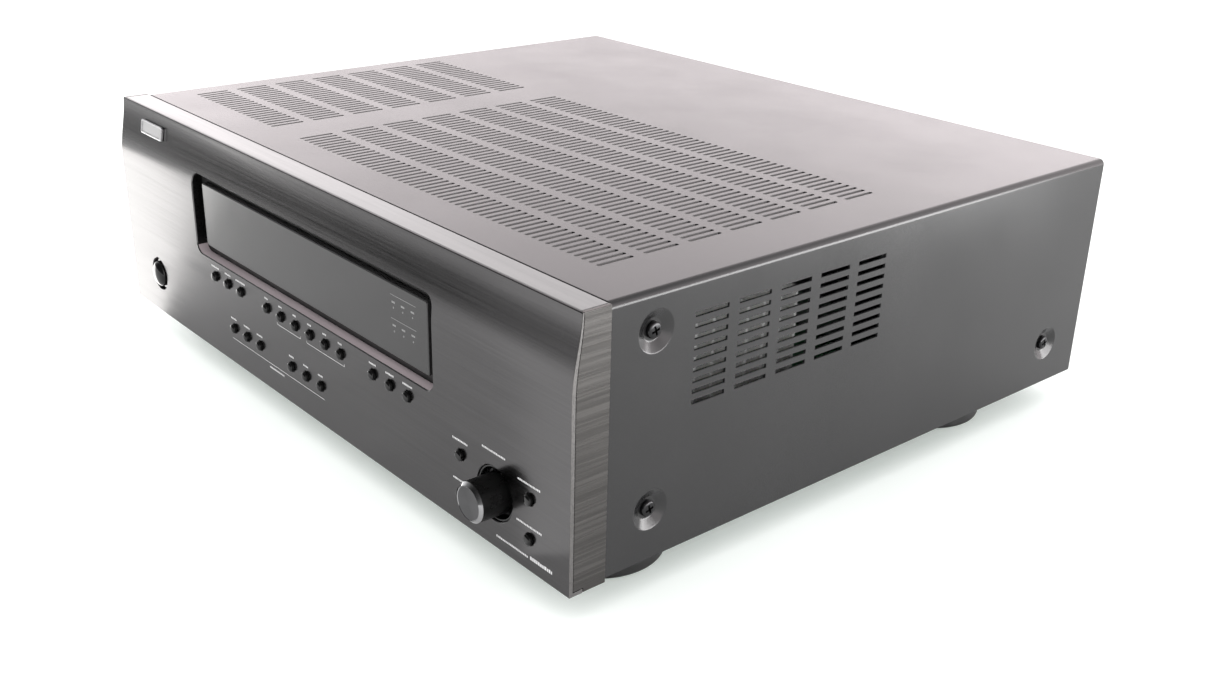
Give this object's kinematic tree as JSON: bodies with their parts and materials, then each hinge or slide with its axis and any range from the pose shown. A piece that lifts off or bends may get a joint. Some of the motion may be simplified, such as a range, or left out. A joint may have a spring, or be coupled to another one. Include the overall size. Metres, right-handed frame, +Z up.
{
  "type": "stereo receiver",
  "caption": "Full-width hi-fi receiver: folded steel case on round feet, brushed front panel with recessed display, push buttons and a push-and-turn selector knob.",
  "frame": {"origin": "on the floor, under the middle of the overall box (knob and rear sockets included)", "axes": "+X to the right as seen from the front, +Y to the rear, +Z up"},
  "size_m": [0.434, 0.3978, 0.1415],
  "materials": {
    "panel_anodised": "brushed and anodised dark grey, satin",
    "deck_anodised": "fine brushed, anodised dark grey, satin",
    "cover_paint": "fine-textured matte powder coat",
    "plated_steel": "zinc plated",
    "badge_metal": "satin silver",
    "black_plastic": "fine matte",
    "button_plastic": "polished black",
    "knob_metal": "gloss black side, brushed dark face, polished chamfer",
    "lens_acrylic": "smoked, polished",
    "tube_glass": "dark coated glass",
    "circuit_board": "green solder mask",
    "screw_black": "black zinc, glossy",
    "foot_plastic": "moulded, satin",
    "transformer_steel": "varnished laminations and tape",
    "heatsink_metal": "extruded, natural",
    "connector_metal": "nickel plated",
    "rear_paint": "matte black paint"
  },
  "bodies": {
    "cabinet": {"front_panel": "panel_anodised", "end_cap_left": "panel_anodised", "end_cap_right": "panel_anodised", "top_trim": "deck_anodised", "badge_plate": "badge_metal", "window_frame": "black_plastic", "display_window": "lens_acrylic", "display_tube": "tube_glass", "knob_cup": "black_plastic", "rotary_encoder": "plated_steel", "front_board": "circuit_board", "power_switch": "black_plastic", "front_bracket": "plated_steel", "bottom_chassis": "plated_steel", "rear_panel": "rear_paint", "mains_inlet": "black_plastic", "output_jacks": "connector_metal", "network_socket": "connector_metal", "antenna_terminals": "connector_metal", "power_transformer": "transformer_steel", "power_supply_board": "circuit_board", "heatsink": "heatsink_metal", "main_board": "circuit_board", "tuner_module": "plated_steel", "top_cover": "cover_paint", "foot_front_left": "foot_plastic", "foot_front_right": "foot_plastic", "foot_rear_left": "foot_plastic", "foot_rear_right": "foot_plastic", "screw_left_upper_front": "screw_black", "screw_left_lower_front": "screw_black", "screw_left_lower_rear": "screw_black", "screw_right_upper_front": "screw_black", "screw_right_lower_front": "screw_black", "screw_right_lower_rear": "screw_black"},
    "upper_button_1": {"upper_button_1": "button_plastic"},
    "upper_button_2": {"upper_button_2": "button_plastic"},
    "upper_button_3": {"upper_button_3": "button_plastic"},
    "upper_button_4": {"upper_button_4": "button_plastic"},
    "upper_button_5": {"upper_button_5": "button_plastic"},
    "upper_button_6": {"upper_button_6": "button_plastic"},
    "upper_button_7": {"upper_button_7": "button_plastic"},
    "upper_button_8": {"upper_button_8": "button_plastic"},
    "upper_button_9": {"upper_button_9": "button_plastic"},
    "upper_button_10": {"upper_button_10": "button_plastic"},
    "upper_button_11": {"upper_button_11": "button_plastic"},
    "upper_button_12": {"upper_button_12": "button_plastic"},
    "lower_button_1": {"lower_button_1": "button_plastic"},
    "lower_button_2": {"lower_button_2": "button_plastic"},
    "lower_button_3": {"lower_button_3": "button_plastic"},
    "lower_button_4": {"lower_button_4": "button_plastic"},
    "lower_button_5": {"lower_button_5": "button_plastic"},
    "lower_button_6": {"lower_button_6": "button_plastic"},
    "knob_button_upper_left": {"knob_button_upper_left": "button_plastic"},
    "knob_button_upper_right": {"knob_button_upper_right": "button_plastic"},
    "knob_button_lower_left": {"knob_button_lower_left": "button_plastic"},
    "knob_button_lower_right": {"knob_button_lower_right": "button_plastic"},
    "power_button": {"power_button": "button_plastic"},
    "knob_shaft": {"knob_shaft": "plated_steel"},
    "select_knob": {"select_knob": "knob_metal"}
  },
  "joints": [
    {"name": "upper_button_1_press", "type": "slide", "parent": "cabinet", "child": "upper_button_1", "axis": [0, 1, 0], "range_m": [0, 0.0008], "stiffness_N_per_m": 1500},
    {"name": "upper_button_2_press", "type": "slide", "parent": "cabinet", "child": "upper_button_2", "axis": [0, 1, 0], "range_m": [0, 0.0008], "stiffness_N_per_m": 1500},
    {"name": "upper_button_3_press", "type": "slide", "parent": "cabinet", "child": "upper_button_3", "axis": [0, 1, 0], "range_m": [0, 0.0008], "stiffness_N_per_m": 1500},
    {"name": "upper_button_4_press", "type": "slide", "parent": "cabinet", "child": "upper_button_4", "axis": [0, 1, 0], "range_m": [0, 0.0008], "stiffness_N_per_m": 1500},
    {"name": "upper_button_5_press", "type": "slide", "parent": "cabinet", "child": "upper_button_5", "axis": [0, 1, 0], "range_m": [0, 0.0008], "stiffness_N_per_m": 1500},
    {"name": "upper_button_6_press", "type": "slide", "parent": "cabinet", "child": "upper_button_6", "axis": [0, 1, 0], "range_m": [0, 0.0008], "stiffness_N_per_m": 1500},
    {"name": "upper_button_7_press", "type": "slide", "parent": "cabinet", "child": "upper_button_7", "axis": [0, 1, 0], "range_m": [0, 0.0008], "stiffness_N_per_m": 1500},
    {"name": "upper_button_8_press", "type": "slide", "parent": "cabinet", "child": "upper_button_8", "axis": [0, 1, 0], "range_m": [0, 0.0008], "stiffness_N_per_m": 1500},
    {"name": "upper_button_9_press", "type": "slide", "parent": "cabinet", "child": "upper_button_9", "axis": [0, 1, 0], "range_m": [0, 0.0008], "stiffness_N_per_m": 1500},
    {"name": "upper_button_10_press", "type": "slide", "parent": "cabinet", "child": "upper_button_10", "axis": [0, 1, 0], "range_m": [0, 0.0008], "stiffness_N_per_m": 1500},
    {"name": "upper_button_11_press", "type": "slide", "parent": "cabinet", "child": "upper_button_11", "axis": [0, 1, 0], "range_m": [0, 0.0008], "stiffness_N_per_m": 1500},
    {"name": "upper_button_12_press", "type": "slide", "parent": "cabinet", "child": "upper_button_12", "axis": [0, 1, 0], "range_m": [0, 0.0008], "stiffness_N_per_m": 1500},
    {"name": "lower_button_1_press", "type": "slide", "parent": "cabinet", "child": "lower_button_1", "axis": [0, 1, 0], "range_m": [0, 0.0008], "stiffness_N_per_m": 1500},
    {"name": "lower_button_2_press", "type": "slide", "parent": "cabinet", "child": "lower_button_2", "axis": [0, 1, 0], "range_m": [0, 0.0008], "stiffness_N_per_m": 1500},
    {"name": "lower_button_3_press", "type": "slide", "parent": "cabinet", "child": "lower_button_3", "axis": [0, 1, 0], "range_m": [0, 0.0008], "stiffness_N_per_m": 1500},
    {"name": "lower_button_4_press", "type": "slide", "parent": "cabinet", "child": "lower_button_4", "axis": [0, 1, 0], "range_m": [0, 0.0008], "stiffness_N_per_m": 1500},
    {"name": "lower_button_5_press", "type": "slide", "parent": "cabinet", "child": "lower_button_5", "axis": [0, 1, 0], "range_m": [0, 0.0008], "stiffness_N_per_m": 1500},
    {"name": "lower_button_6_press", "type": "slide", "parent": "cabinet", "child": "lower_button_6", "axis": [0, 1, 0], "range_m": [0, 0.0008], "stiffness_N_per_m": 1500},
    {"name": "knob_button_upper_left_press", "type": "slide", "parent": "cabinet", "child": "knob_button_upper_left", "axis": [0, 1, 0], "range_m": [0, 0.0008], "stiffness_N_per_m": 1500},
    {"name": "knob_button_upper_right_press", "type": "slide", "parent": "cabinet", "child": "knob_button_upper_right", "axis": [0, 1, 0], "range_m": [0, 0.0008], "stiffness_N_per_m": 1500},
    {"name": "knob_button_lower_left_press", "type": "slide", "parent": "cabinet", "child": "knob_button_lower_left", "axis": [0, 1, 0], "range_m": [0, 0.0008], "stiffness_N_per_m": 1500},
    {"name": "knob_button_lower_right_press", "type": "slide", "parent": "cabinet", "child": "knob_button_lower_right", "axis": [0, 1, 0], "range_m": [0, 0.0008], "stiffness_N_per_m": 1500},
    {"name": "power_button_press", "type": "slide", "parent": "cabinet", "child": "power_button", "axis": [0, 1, 0], "range_m": [0, 0.0025], "stiffness_N_per_m": 900},
    {"name": "knob_push", "type": "slide", "parent": "cabinet", "child": "knob_shaft", "axis": [0, 1, 0], "range_m": [0, 0.0008], "stiffness_N_per_m": 2500},
    {"name": "knob_turn", "type": "hinge", "parent": "knob_shaft", "child": "select_knob", "pos_m": [0.1652, -0.1851, 0.0421], "axis": [0, 1, 0], "continuous": true}
  ]
}
